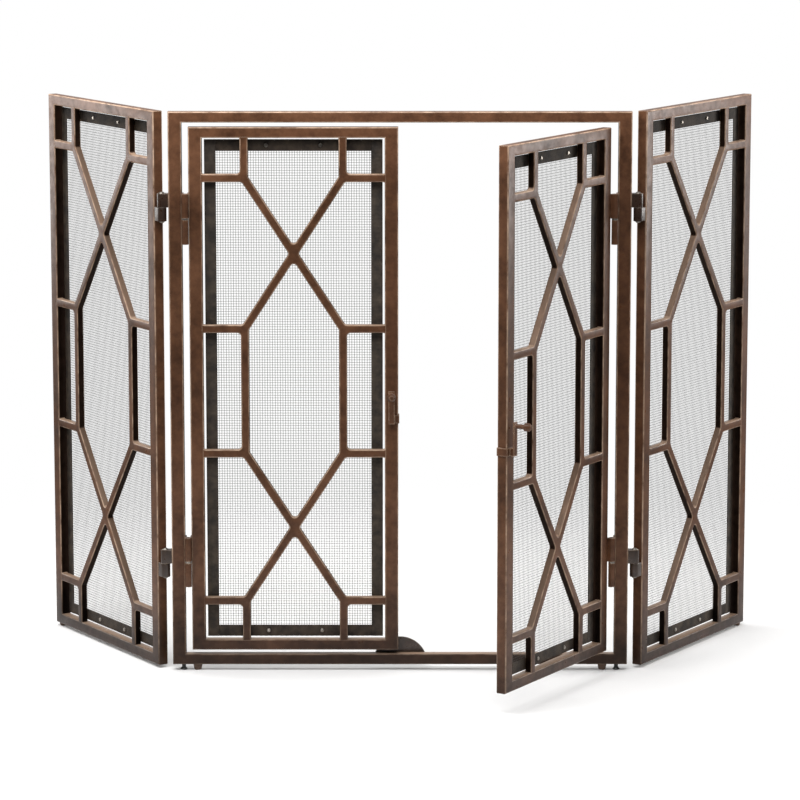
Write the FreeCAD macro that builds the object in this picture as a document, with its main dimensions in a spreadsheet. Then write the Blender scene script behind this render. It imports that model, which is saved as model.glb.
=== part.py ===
import FreeCAD, Part
import math
import os
import re
import Sketcher

# Folding fireplace screen: a free-standing centre frame with two hinged doors, and a folding
# wing on each side. Millimetres, +X to the right, +Y to the back, +Z up. The origin is on the
# floor, in the middle of the room that the screen takes up as it stands.

doc = FreeCAD.newDocument("FireplaceScreen")
sheet = doc.addObject("Spreadsheet::Sheet", "Dims")

DIMENSIONS = {
    # how far the centre frame's front face stands behind the origin, negative in front of it
    "FrontSetback": -13,
    # centre frame, without its feet
    "CenterWidth": 680,
    "CenterHeight": 829,
    "FootHeight": 9,
    # rectangular tube of the frames: face of the uprights, face of the rails, depth, wall
    "StileFace": 20,
    "RailFace": 16,
    "TubeDepth": 16,
    "TubeWall": 1.2,
    "TubeCorner": 1.8,
    # doors: gaps round them, and how far each stands open
    "JambGap": 9.5,
    "MeetingGap": 5,
    "DoorEndGap": 6.5,
    "DoorStopGap": 0.3,
    "LeftDoorOpen": 0,
    "RightDoorOpen": 59,
    # wings: width, how far they reach below the centre frame, gap to the jamb, fold
    "WingWidth": 340,
    "WingDrop": 4,
    "WingGap": 20,
    "WingFold": 58,
    # lattice: bar section, clear width beside the uprights, heights of the level bars
    "BarWidth": 12,
    "BarDepth": 11,
    "SideBay": 55.5,
    "DoorCornerDrop": 75,
    "DoorJunctionDrop": 298.5,
    "WingCornerDrop": 76,
    "WingJunctionDrop": 322,
    # woven mesh and the hem round its edge
    "MeshInset": 3,
    "MeshThick": 0.5,
    "HemWidth": 17,
    "HemThick": 1,
    # screws through the hem
    "ScrewSpread": 40,
    "ScrewHeadRadius": 3,
    "ScrewHeadHeight": 1.6,
    "ScrewHeadRim": 0.6,
    "ScrewCrownRatio": 0.7,
    "ScrewRadius": 1.4,
    "ScrewTail": 3,
    # door hinges
    "DoorHingeInset": 157.5,
    "BarrelRadius": 5,
    "KnuckleLength": 36.2,
    "CollarThick": 2,
    "PivotProud": 4.3,
    "LeafThick": 2,
    "LeafReach": 15,
    "PinRadius": 2.4,
    "PinInset": 2,
    # clearances in both kinds of hinge: pin in its bore, and moving faces
    "PinClearance": 0.05,
    "TurnGap": 0.4,
    # wing hinges
    "WingHingeTop": 141,
    "WingHingeBottom": 154,
    "LobeRadius": 7,
    "LobeHeight": 20.4,
    "WingPinRadius": 3,
    "PinHeadRadius": 4.6,
    "PinHeadHeight": 2,
    "PinHeadRatio": 0.6,
    # half-round stop plate behind the bottom rail
    "StopRadius": 41,
    "StopRise": 23,
    "StopThick": 3,
    "StopWeldEdge": 1.5,
    # feet: screw glides and tapered feet under the centre frame, one foot under each wing
    "GlideInset": 16,
    "GlideBaseRadius": 5.5,
    "GlideBaseHeight": 4,
    "GlideStemRadius": 3,
    "FootInset": 37,
    "FootTopRadius": 7,
    "FootTipRadius": 5.5,
    "FootTipEdge": 1,
    "WingFootInset": 9,
    "WingFootTopRadius": 6.3,
    "WingFootTipRadius": 5,
    # door pulls
    "PullHeight": 410,
    "ClipDrop": 37,
    "ClipHeight": 12,
    "ClipThick": 1.5,
    "ClipReach": 12,
    "StrapWidth": 9,
    "StrapThick": 2,
    "StrapStandoff": 6.5,
    "NeckRadius": 3.4,
    "NeckLength": 13,
    "HeadRadius": 6,
    "HeadLength": 12,
    "HeadShoulder": 0.2,
    "HeadCrown": 0.3,
    "HeadTipRatio": 0.55,
}

for row, (alias, value) in enumerate(DIMENSIONS.items(), start=1):
    sheet.set("A%d" % row, str(value))
    sheet.setAlias("A%d" % row, alias)
doc.recompute()

# Sizes worked out from the sheet, as expressions.
DOOR_WIDTH = "((CenterWidth - 2 * StileFace - 2 * JambGap - MeetingGap) / 2)"
DOOR_HEIGHT = "(CenterHeight - 2 * RailFace - 2 * DoorEndGap)"
WING_HEIGHT = "(CenterHeight + WingDrop)"
WING_BASE = "(FootHeight - WingDrop)"
HEM_FRONT = "BarDepth"
MESH_FRONT = "(BarDepth + HemThick)"


def bound(expression):
    """The expression with the sheet's name put before each of its aliases."""
    return re.sub(r"\b(?=[A-Z])(\w+)\b(?!\.)", r"Dims.\1", expression)


def size(expression):
    """The value that an expression has now."""
    return float(sheet.evalExpression(bound(expression)))


def shift(x="0", y="0", z="0", turn="0"):
    """A placement expression: moved by x, y, z and turned about the vertical."""
    place = bound("vector(%s; %s; %s)" % (x, y, z))
    return "placement(%s; rotation(vector(0; 0; 1); %s))" % (place, bound(turn))


nodes = []


def add_node(item, label, frame, place=None):
    """Names an object as a sub-part and stands it in its frame."""
    item.Label = label
    where = frame + ".Placement"
    if place:
        where += " * " + place
    item.setExpression("Placement", where)
    nodes.append(item)
    return item


# ---- the five frames that everything is placed in ----------------------------------------

def add_frame(name, expression):
    frame = doc.addObject("App::Placement", name)
    frame.setExpression("Placement", expression)
    return name


CENTER = add_frame("CenterFrame", shift(y="FrontSetback"))

PIVOT_FROM_DOOR = "(JambGap / 2)"
DOOR_PIVOT_X = "(CenterWidth / 2 - StileFace - JambGap / 2)"
DOOR_BASE = "(FootHeight + RailFace + DoorEndGap)"


def door_frame(name, side, angle):
    """A door's own frame: middle of its width, front face, bottom edge."""
    pivot = shift("%d * %s" % (side, DOOR_PIVOT_X), "-PivotProud", "0", angle)
    offset = "%d * (%s + %s / 2)" % (-side, PIVOT_FROM_DOOR, DOOR_WIDTH)
    door = shift(offset, "PivotProud - DoorStopGap", DOOR_BASE)
    return add_frame(name, "CenterFrame.Placement * %s * %s" % (pivot, door))


WING_PIVOT_X = "(CenterWidth / 2 + WingGap / 2)"


def wing_frame(name, side, angle):
    """A wing's own frame: middle of its width, front face, bottom edge."""
    pivot = shift("%d * %s" % (side, WING_PIVOT_X), "TubeDepth / 2", "0", angle)
    offset = "%d * (WingGap + WingWidth) / 2" % side
    wing = shift(offset, "-TubeDepth / 2", WING_BASE)
    return add_frame(name, "CenterFrame.Placement * %s * %s" % (pivot, wing))


LEFT, RIGHT = -1, 1
LEFT_DOOR = door_frame("LeftDoor", LEFT, "-LeftDoorOpen")
RIGHT_DOOR = door_frame("RightDoor", RIGHT, "RightDoorOpen")
LEFT_WING = wing_frame("LeftWing", LEFT, "-WingFold")
RIGHT_WING = wing_frame("RightWing", RIGHT, "WingFold")


# ---- sketch helpers ----------------------------------------------------------------------

def origin_plane(body, role):
    return [plane for plane in body.Origin.OriginFeatures if plane.Role == role][0]


def new_sketch(body, name, role):
    sketch = body.newObject("Sketcher::SketchObject", name)
    sketch.AttachmentSupport = [(origin_plane(body, role), "")]
    sketch.MapMode = "FlatFace"
    return sketch


def fix_point(sketch, name, edge, corner, x, y):
    """Holds one end of a sketch edge at the place that two expressions give."""
    for kind, expression in (("X", x), ("Y", y)):
        constraint = Sketcher.Constraint("Distance" + kind, -1, 1, edge, corner, size(expression))
        index = sketch.addConstraint(constraint)
        sketch.renameConstraint(index, name + kind)
        sketch.setExpression("Constraints." + name + kind, bound(expression))


def closed_outline(sketch, name, corners):
    """A closed run of straight edges through corners given as expressions."""
    points = [FreeCAD.Vector(size(x), size(y), 0) for x, y in corners]
    count = len(points)
    edges = []
    for index in range(count):
        line = Part.LineSegment(points[index], points[(index + 1) % count])
        edges.append(sketch.addGeometry(line))
    for index in range(count):
        following = edges[(index + 1) % count]
        sketch.addConstraint(Sketcher.Constraint("Coincident", edges[index], 2, following, 1))
        x, y = corners[index]
        fix_point(sketch, "%s%d" % (name, index), edges[index], 1, x, y)


QUARTER_TURN = math.pi / 2


def rounded_rectangle(sketch, name, width, height, radius):
    """A rectangle about the sketch's origin, with round corners."""
    half_w, half_h, r = size(width) / 2, size(height) / 2, size(radius)
    inner_w, inner_h = half_w - r, half_h - r
    vector = FreeCAD.Vector
    lines = [
        Part.LineSegment(vector(-inner_w, -half_h, 0), vector(inner_w, -half_h, 0)),
        Part.LineSegment(vector(half_w, -inner_h, 0), vector(half_w, inner_h, 0)),
        Part.LineSegment(vector(inner_w, half_h, 0), vector(-inner_w, half_h, 0)),
        Part.LineSegment(vector(-half_w, inner_h, 0), vector(-half_w, -inner_h, 0)),
    ]
    sides = [sketch.addGeometry(line) for line in lines]
    turns = []
    up = vector(0, 0, 1)
    centres = ((inner_w, -inner_h), (inner_w, inner_h), (-inner_w, inner_h), (-inner_w, -inner_h))
    for quarter, (x, y) in enumerate(centres):
        circle = Part.Circle(vector(x, y, 0), up, r)
        start = (quarter - 1) * QUARTER_TURN
        turns.append(sketch.addGeometry(Part.ArcOfCircle(circle, start, start + QUARTER_TURN)))
    for quarter in range(4):
        following = sides[(quarter + 1) % 4]
        sketch.addConstraint(Sketcher.Constraint("Tangent", sides[quarter], 2, turns[quarter], 1))
        sketch.addConstraint(Sketcher.Constraint("Tangent", turns[quarter], 2, following, 1))
    for quarter in range(3):
        sketch.addConstraint(Sketcher.Constraint("Equal", turns[quarter], turns[quarter + 1]))
    sketch.addConstraint(Sketcher.Constraint("Horizontal", sides[2]))
    sketch.addConstraint(Sketcher.Constraint("Vertical", sides[3]))
    sketch.addConstraint(Sketcher.Constraint("Symmetric", sides[0], 1, sides[0], 2, -2))
    sketch.addConstraint(Sketcher.Constraint("Symmetric", sides[1], 1, sides[1], 2, -1))
    radius_at = sketch.addConstraint(Sketcher.Constraint("Radius", turns[0], r))
    width_at = sketch.addConstraint(Sketcher.Constraint("DistanceX", -1, 1, sides[1], 1, half_w))
    height_at = sketch.addConstraint(Sketcher.Constraint("DistanceY", sides[0], 1, -1, 1, half_h))
    driven = ((radius_at, "Radius", radius), (width_at, "Wide", "(%s) / 2" % width),
              (height_at, "High", "(%s) / 2" % height))
    for index, word, expression in driven:
        sketch.renameConstraint(index, name + word)
        sketch.setExpression("Constraints." + name + word, bound(expression))


# ---- frame tubes -------------------------------------------------------------------------

def frame_tube(label, frame, place, length, face, end_cut, upright):
    """A length of rectangular tube with both ends cut from corner to corner.

    The tube lies about its own middle. Its outer face is at -face / 2 across the tube, and
    end_cut is how much shorter the inner face is at each end.
    """
    body = doc.addObject("PartDesign::Body", label)
    profile = new_sketch(body, label + "_section", "XY_Plane" if upright else "YZ_Plane")
    if upright:
        across, through = face, "TubeDepth"
    else:
        across, through = "TubeDepth", face
    rounded_rectangle(profile, "outer", across, through, "TubeCorner")
    inner = [side + " - 2 * TubeWall" for side in (across, through)]
    rounded_rectangle(profile, "inner", inner[0], inner[1], "TubeCorner - TubeWall")
    tube = body.newObject("PartDesign::Pad", label + "_length")
    tube.Profile = profile
    tube.SideType = "Symmetric"
    tube.setExpression("Length", bound(length))
    cuts = new_sketch(body, label + "_ends", "XZ_Plane")
    for end in (-1, 1):
        tip = "%d * (%s) / 2" % (end, length)
        beyond = "%d * ((%s) / 2 + 1)" % (end, length)
        heel = "%d * ((%s) / 2 - %s)" % (end, length, end_cut)
        outer, inside = "-(%s) / 2" % face, "(%s) / 2" % face
        past = "(%s) / 2 + 1" % face
        corners = [(outer, tip), (outer, beyond), (past, beyond), (past, heel), (inside, heel)]
        if not upright:
            corners = [(along, cross) for cross, along in corners]
        closed_outline(cuts, "start" if end < 0 else "finish", corners)
    mitre = body.newObject("PartDesign::Pocket", label + "_mitres")
    mitre.Profile = cuts
    mitre.SideType = "Symmetric"
    mitre.setExpression("Length", bound("2 * TubeDepth"))
    add_node(body, label, frame, place)


def tube_frame(prefix, frame, names, width, height, base):
    """Four mitred tubes: first upright (at -X), second upright, bottom rail, top rail."""
    middle = "%s + (%s) / 2" % (base, height)
    outset = "((%s) / 2 - StileFace / 2)" % width
    depth = "TubeDepth / 2"
    frame_tube(prefix + names[0], frame, shift("-" + outset, depth, middle),
               height, "StileFace", "RailFace", True)
    frame_tube(prefix + names[1], frame, shift(outset, depth, middle, "180"),
               height, "StileFace", "RailFace", True)
    low = shift("0", depth, base + " + RailFace / 2")
    frame_tube(prefix + names[2], frame, low, width, "RailFace", "StileFace", False)
    flip = " * placement(vector(0; 0; 0); rotation(vector(0; 1; 0); 180))"
    high = shift("0", depth, "%s + %s - RailFace / 2" % (base, height)) + flip
    frame_tube(prefix + names[3], frame, high, width, "RailFace", "StileFace", False)


# ---- lattice -----------------------------------------------------------------------------

def box(name, low, high):
    """A box between two corners given as expressions."""
    item = doc.addObject("Part::Box", name)
    for side, start, end in zip(("Length", "Width", "Height"), low, high):
        item.setExpression(side, bound("%s - (%s)" % (end, start)))
    for letter, start in zip("xyz", low):
        item.setExpression("Placement.Base." + letter, bound(start))
    return item


def cylinder(name, radius, height, at):
    """An upright cylinder standing on a point given as expressions."""
    item = doc.addObject("Part::Cylinder", name)
    item.setExpression("Radius", bound(radius))
    item.setExpression("Height", bound(height))
    for letter, start in zip("xyz", at):
        item.setExpression("Placement.Base." + letter, bound(start))
    return item


def group(label, items, frame):
    """Several separate solids as one sub-part."""
    item = doc.addObject("Part::Compound", label)
    item.Links = items
    return add_node(item, label, frame)


def between(low, high, prefix, word):
    """A straight lattice bar from low to high (x, z), as deep as every bar."""
    return box(prefix + word, (low[0], "0", low[1]), (high[0], "BarDepth", high[1]))


def upright_offset(width):
    """How far the middle of a lattice upright stands from the middle of its panel."""
    return "((%s) / 2 - StileFace - SideBay - BarWidth / 2)" % width


def lattice_bars(label, frame, width, height, corner, junction):
    """The upright and level bars of one panel's lattice."""
    half, upright = "BarWidth / 2", upright_offset(width)
    bars = []
    levels = [corner, junction, "%s - %s" % (height, junction), "%s - %s" % (height, corner)]
    runs = [("RailFace", "%s + %s" % (levels[0], half)),
            ("%s - %s" % (levels[1], half), "%s + %s" % (levels[2], half)),
            ("%s - %s" % (levels[3], half), "%s - RailFace" % height)]
    for side in (-1, 1):
        centre = "%d * %s" % (side, upright)
        for number, (low, high) in enumerate(runs):
            word = "_upright%d%d" % (side + 1, number)
            bars.append(between(("%s - %s" % (centre, half), low),
                                ("%s + %s" % (centre, half), high), label, word))
        near = "%s + %s" % (upright, half)
        far = "(%s) / 2 - StileFace" % width
        if side < 0:
            near, far = "-(%s)" % far, "-(%s)" % near
        for number, level in enumerate(levels):
            word = "_level%d%d" % (side + 1, number)
            bars.append(between((near, "%s - %s" % (level, half)),
                                (far, "%s + %s" % (level, half)), label, word))
    group(label, bars, frame)


def lattice_diagonals(label, frame, width, height, corner, junction):
    """Two crosses of slanting bars, notched over the corners of the straight bars.

    Each cross has one bar that runs through, and two short bars that butt against it.
    """
    half = "BarWidth / 2"
    rise = "((%s - %s) / 2)" % (junction, corner)
    run = upright_offset(width)
    slant = "sqrt(%s ^ 2 + %s ^ 2)" % (run, rise)
    edge_up = "(%s * %s / %s)" % (half, slant, run)
    edge_out = "(%s * %s / %s)" % (half, slant, rise)
    # where the bar's two edges meet the side and the end of the upright's end
    on_side = "(%s - %s * %s / %s)" % (edge_up, half, rise, run)
    on_end = "((%s - %s) * %s / %s)" % (edge_up, half, run, rise)
    bars = []
    for cross in (-1, 1):
        middle = "(%s / 2 + %d * (%s / 2 - (%s + %s) / 2))" % (height, cross, height, corner, junction)

        def end(side, up):
            """The notched end at one of the four junctions round the cross."""
            x, z = "%d * %s" % (side, run), "%s + %d * %s" % (middle, up, rise)
            return [
                ("%s - %d * %s" % (x, side, half), "%s + %d * %s" % (z, up, on_side)),
                ("%s - %d * %s" % (x, side, half), "%s - %d * %s" % (z, up, half)),
                ("%s + %d * %s" % (x, side, on_end), "%s - %d * %s" % (z, up, half)),
            ]

        through = end(-1, 1) + end(1, -1)
        top_butt = [("%s" % edge_out, middle), ("0", "%s + %s" % (middle, edge_up))]
        low_butt = [("-%s" % edge_out, middle), ("0", "%s - %s" % (middle, edge_up))]
        shapes = {"through": through,
                  "upper": end(1, 1) + top_butt,
                  "lower": end(-1, -1) + low_butt}
        for word, corners in shapes.items():
            name = "%s_%s%d" % (label, word, cross + 1)
            body = doc.addObject("PartDesign::Body", name)
            sketch = new_sketch(body, name + "_outline", "XZ_Plane")
            closed_outline(sketch, "p", corners)
            pad = body.newObject("PartDesign::Pad", name + "_depth")
            pad.Profile = sketch
            pad.Reversed = True
            pad.setExpression("Length", bound("BarDepth"))
            bars.append(body)
    group(label, bars, frame)


# ---- mesh, hem and screws ----------------------------------------------------------------

def mesh_panel(prefix, frame, width, height):
    """Woven mesh behind the lattice, its doubled hem in front of it, and the hem's screws."""
    half = "((%s) / 2 - StileFace - MeshInset)" % width
    low, high = "(RailFace + MeshInset)", "(%s - RailFace - MeshInset)" % height
    mesh = box(prefix + "mesh_sheet", ("-" + half, MESH_FRONT, low),
               (half, MESH_FRONT + " + MeshThick", high))
    add_in_frame(mesh, prefix + "mesh", frame)
    strips = []
    edges = (("left", "-" + half, low, "-%s + HemWidth" % half, high),
             ("right", half + " - HemWidth", low, half, high),
             ("bottom", "-%s + HemWidth" % half, low, half + " - HemWidth", low + " + HemWidth"),
             ("top", "-%s + HemWidth" % half, high + " - HemWidth", half + " - HemWidth", high))
    for word, x0, z0, x1, z1 in edges:
        strips.append(box(prefix + "hem_" + word, (x0, HEM_FRONT, z0), (x1, MESH_FRONT, z1)))
    group(prefix + "hem", strips, frame)
    screws = []
    for side in (-1, 1):
        for word, level in (("low", low + " + HemWidth / 2"), ("high", high + " - HemWidth / 2")):
            name = "%sscrew_%s%d" % (prefix, word, side + 1)
            screws.append(hem_screw(name, "%d * ScrewSpread" % side, level))
    group(prefix + "hem_screws", screws, frame)


def add_in_frame(item, label, frame):
    """A single primitive as a sub-part: wrapped, so that its own placement stays its own."""
    wrapped = doc.addObject("Part::Compound", label)
    wrapped.Links = [item]
    add_node(wrapped, label, frame)


def hem_screw(name, x, z):
    """A pan-head screw pointing to the back: a domed head and a plain shank."""
    body = doc.addObject("PartDesign::Body", name)
    sketch = new_sketch(body, name + "_half", "XY_Plane")
    front = HEM_FRONT + " - ScrewHeadHeight"
    tail = MESH_FRONT + " + ScrewTail"
    closed_outline(sketch, "p", [
        ("0", front), ("ScrewHeadRadius * ScrewCrownRatio", front),
        ("ScrewHeadRadius", HEM_FRONT + " - ScrewHeadRim"),
        ("ScrewHeadRadius", HEM_FRONT), ("ScrewRadius", HEM_FRONT), ("ScrewRadius", tail),
        ("0", tail)])
    turned = body.newObject("PartDesign::Revolution", name + "_turned")
    turned.Profile = sketch
    turned.ReferenceAxis = (sketch, ["V_Axis"])
    turned.Angle = 360
    body.setExpression("Placement.Base.x", bound(x))
    body.setExpression("Placement.Base.z", bound(z))
    return body


# ---- door hinges -------------------------------------------------------------------------

def drilled(name, solids, bore):
    """Solids joined together, with a bore cut through them."""
    joined = doc.addObject("Part::MultiFuse", name + "_joined")
    joined.Shapes = solids
    cut = doc.addObject("Part::Cut", name)
    cut.Base = joined
    cut.Tool = bore
    return cut


def turned_upright(name, corners, x, y):
    """A solid of revolution about an upright axis at x, y; corners are (radius, height)."""
    body = doc.addObject("PartDesign::Body", name)
    sketch = new_sketch(body, name + "_half", "XZ_Plane")
    closed_outline(sketch, "p", corners)
    turned = body.newObject("PartDesign::Revolution", name + "_turned")
    turned.Profile = sketch
    turned.ReferenceAxis = (sketch, ["V_Axis"])
    turned.Angle = 360
    body.setExpression("Placement.Base.x", bound(x))
    body.setExpression("Placement.Base.y", bound(y))
    return body


DOOR_HINGE_LEVELS = ("(FootHeight + DoorHingeInset)",
                     "(FootHeight + CenterHeight - DoorHingeInset)")


def door_hinges(prefix, frame, side):
    """Two barrel hinges: lower knuckle on the jamb, upper knuckle on the door."""
    pivot_x = "%d * %s" % (side, DOOR_PIVOT_X)
    jamb = "%d * (CenterWidth / 2 - StileFace)" % side
    door_pivot_x = "%d * (%s / 2 + %s)" % (side, DOOR_WIDTH, PIVOT_FROM_DOOR)
    door_pivot_y = "(DoorStopGap - PivotProud)"
    stile = "%d * (%s) / 2" % (side, DOOR_WIDTH)
    fixed, moving, pins = [], [], []
    for number, level in enumerate(DOOR_HINGE_LEVELS):
        middle_low = "%s - CollarThick / 2" % level
        middle_high = "%s + CollarThick / 2 + TurnGap" % level
        bottom = "%s - KnuckleLength" % middle_low
        top = "%s + KnuckleLength" % middle_high
        # leaf and lower knuckle on the jamb; the leaf runs up behind the door's knuckle
        name = "%sfixed%d" % (prefix, number)
        inner = "%s - %d * LeafThick" % (jamb, side)
        xs = (jamb, inner) if side < 0 else (inner, jamb)
        barrel = cylinder(name + "_barrel", "BarrelRadius", "KnuckleLength",
                          (pivot_x, "-PivotProud", bottom))
        web = box(name + "_web", (xs[0], "-PivotProud", bottom), (xs[1], "LeafReach", middle_low))
        strip = box(name + "_strip", (xs[0], "BarrelRadius + TurnGap - PivotProud", bottom),
                    (xs[1], "LeafReach", top))
        bore = cylinder(name + "_bore", "PinRadius + PinClearance", "KnuckleLength",
                        (pivot_x, "-PivotProud", bottom))
        fixed.append(drilled(name, [barrel, web, strip], bore))
        # leaf and upper knuckle on the door, in the door's own frame
        name = "%smoving%d" % (prefix, number)
        low, high = "%s - %s" % (middle_high, DOOR_BASE), "%s - %s" % (top, DOOR_BASE)
        outer = "%s + %d * LeafThick" % (stile, side)
        xs = (outer, stile) if side < 0 else (stile, outer)
        barrel = cylinder(name + "_barrel", "BarrelRadius", "KnuckleLength",
                          (door_pivot_x, door_pivot_y, low))
        web = box(name + "_web", (xs[0], door_pivot_y, low), (xs[1], "LeafReach", high))
        bore = cylinder(name + "_bore", "PinRadius + PinClearance", "KnuckleLength",
                        (door_pivot_x, door_pivot_y, low))
        moving.append(drilled(name, [barrel, web], bore))
        # pin with a round collar between the knuckles
        name = "%spin%d" % (prefix, number)
        pins.append(turned_upright(name, [
            ("0", bottom + " + PinInset"), ("PinRadius", bottom + " + PinInset"),
            ("PinRadius", middle_low),
            ("BarrelRadius", middle_low), ("BarrelRadius", middle_low + " + CollarThick"),
            ("PinRadius", middle_low + " + CollarThick"), ("PinRadius", top + " - PinInset"),
            ("0", top + " - PinInset")], pivot_x, "-PivotProud"))
    group(prefix + "jamb_leaves", fixed, CENTER)
    group(prefix + "door_leaves", moving, frame)
    group(prefix + "pins", pins, CENTER)


# ---- wing hinges -------------------------------------------------------------------------

def wing_hinges(prefix, frame, side):
    """Two lobe hinges: upper lobe on the jamb, lower lobe on the wing, on a riveted pin."""
    pivot_x, pivot_y = "%d * %s" % (side, WING_PIVOT_X), "TubeDepth / 2"
    jamb = "%d * CenterWidth / 2" % side
    wing_pivot_x = "%d * (WingWidth + WingGap) / 2" % -side
    stile = "%d * WingWidth / 2" % -side
    fixed, moving, pins = [], [], []
    levels = ("(FootHeight + WingHingeBottom)", "(FootHeight + CenterHeight - WingHingeTop)")
    for number, level in enumerate(levels):
        top_low, top_high = level + " + TurnGap / 2", level + " + TurnGap / 2 + LobeHeight"
        base_low, base_high = level + " - TurnGap / 2 - LobeHeight", level + " - TurnGap / 2"
        back, front = pivot_y + " + LobeRadius", pivot_y + " - LobeRadius"
        name = "%sfixed%d" % (prefix, number)
        xs = (pivot_x, jamb) if side < 0 else (jamb, pivot_x)
        lobe = cylinder(name + "_lobe", "LobeRadius", "LobeHeight", (pivot_x, pivot_y, top_low))
        arm = box(name + "_arm", (xs[0], front, top_low), (xs[1], back, top_high))
        bore = cylinder(name + "_bore", "WingPinRadius + PinClearance", "LobeHeight",
                        (pivot_x, pivot_y, top_low))
        fixed.append(drilled(name, [lobe, arm], bore))
        name = "%smoving%d" % (prefix, number)
        low = "%s - %s" % (base_low, WING_BASE)
        high = "%s - %s" % (base_high, WING_BASE)
        xs = (stile, wing_pivot_x) if side < 0 else (wing_pivot_x, stile)
        lobe = cylinder(name + "_lobe", "LobeRadius", "LobeHeight", (wing_pivot_x, pivot_y, low))
        arm = box(name + "_arm", (xs[0], front, low), (xs[1], back, high))
        bore = cylinder(name + "_bore", "WingPinRadius + PinClearance", "LobeHeight",
                        (wing_pivot_x, pivot_y, low))
        moving.append(drilled(name, [lobe, arm], bore))
        name = "%spin%d" % (prefix, number)
        under = base_low + " - TurnGap"
        pins.append(turned_upright(name, [
            ("0", under + " - PinHeadHeight"),
            ("PinHeadRadius * PinHeadRatio", under + " - PinHeadHeight"),
            ("PinHeadRadius", under), ("WingPinRadius", under), ("WingPinRadius", top_high),
            ("PinHeadRadius", top_high),
            ("PinHeadRadius * PinHeadRatio", top_high + " + PinHeadHeight"),
            ("0", top_high + " + PinHeadHeight")], pivot_x, pivot_y))
    group(prefix + "jamb_leaves", fixed, CENTER)
    group(prefix + "wing_leaves", moving, frame)
    group(prefix + "pins", pins, CENTER)


# ---- door stop, feet and pulls -----------------------------------------------------------

def door_stop():
    """A half-round plate welded to the back of the bottom rail, where the doors meet."""
    rail_top = "(FootHeight + RailFace)"
    centre = "(%s + StopRise - StopRadius)" % rail_top
    chord = "(FootHeight + StopWeldEdge)"
    half = "sqrt(StopRadius ^ 2 - (%s - %s) ^ 2)" % (chord, centre)
    body = doc.addObject("PartDesign::Body", "door_stop_plate")
    sketch = new_sketch(body, "door_stop_outline", "XZ_Plane")
    vector = FreeCAD.Vector
    left = vector(-size(half), size(chord), 0)
    right = vector(size(half), size(chord), 0)
    crown = vector(0, size(rail_top) + size("StopRise"), 0)
    line = sketch.addGeometry(Part.LineSegment(left, right))
    arc = sketch.addGeometry(Part.Arc(right, crown, left))
    sketch.addConstraint(Sketcher.Constraint("Coincident", line, 2, arc, 1))
    sketch.addConstraint(Sketcher.Constraint("Coincident", line, 1, arc, 2))
    fix_point(sketch, "low", line, 1, "-" + half, chord)
    fix_point(sketch, "centre", arc, 3, "0", centre)
    sketch.addConstraint(Sketcher.Constraint("Horizontal", line))
    plate = body.newObject("PartDesign::Pad", "door_stop_thickness")
    plate.Profile = sketch
    plate.Reversed = True
    plate.setExpression("Length", bound("StopThick"))
    add_node(body, "door_stop", CENTER, shift(y="TubeDepth"))


def foot(name, top_radius, tip_radius, height, x, y):
    """A tapered foot from the floor up, with a small turned-in tip."""
    return turned_upright(name, [
        ("0", "0"), (tip_radius + " - FootTipEdge", "0"), (tip_radius, "FootTipEdge"),
        (top_radius, height), ("0", height)], x, y)


def feet():
    glides, tapered = [], []
    middle = "TubeDepth / 2"
    for side in (-1, 1):
        glide_x = "%d * (CenterWidth / 2 - GlideInset)" % side
        glides.append(turned_upright("glide%d" % (side + 1), [
            ("0", "0"), ("GlideBaseRadius - FootTipEdge", "0"), ("GlideBaseRadius", "FootTipEdge"),
            ("GlideStemRadius", "GlideBaseHeight"), ("GlideStemRadius", "FootHeight"),
            ("0", "FootHeight")], glide_x, middle))
        foot_x = "%d * (CenterWidth / 2 - FootInset)" % side
        tapered.append(foot("foot%d" % (side + 1), "FootTopRadius", "FootTipRadius",
                            "FootHeight", foot_x, middle))
    group("centre_glides", glides, CENTER)
    group("centre_feet", tapered, CENTER)


def wing_foot(label, frame, side):
    """One foot under the wing's outer end; the wing's frame starts WING_BASE above the floor."""
    x = "%d * (WingWidth / 2 - WingFootInset)" % side
    item = foot(label + "_turned", "WingFootTopRadius", "WingFootTipRadius", WING_BASE,
                x, "TubeDepth / 2")
    item.setExpression("Placement.Base.z", bound("-" + WING_BASE))
    group(label, [item], frame)


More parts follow.
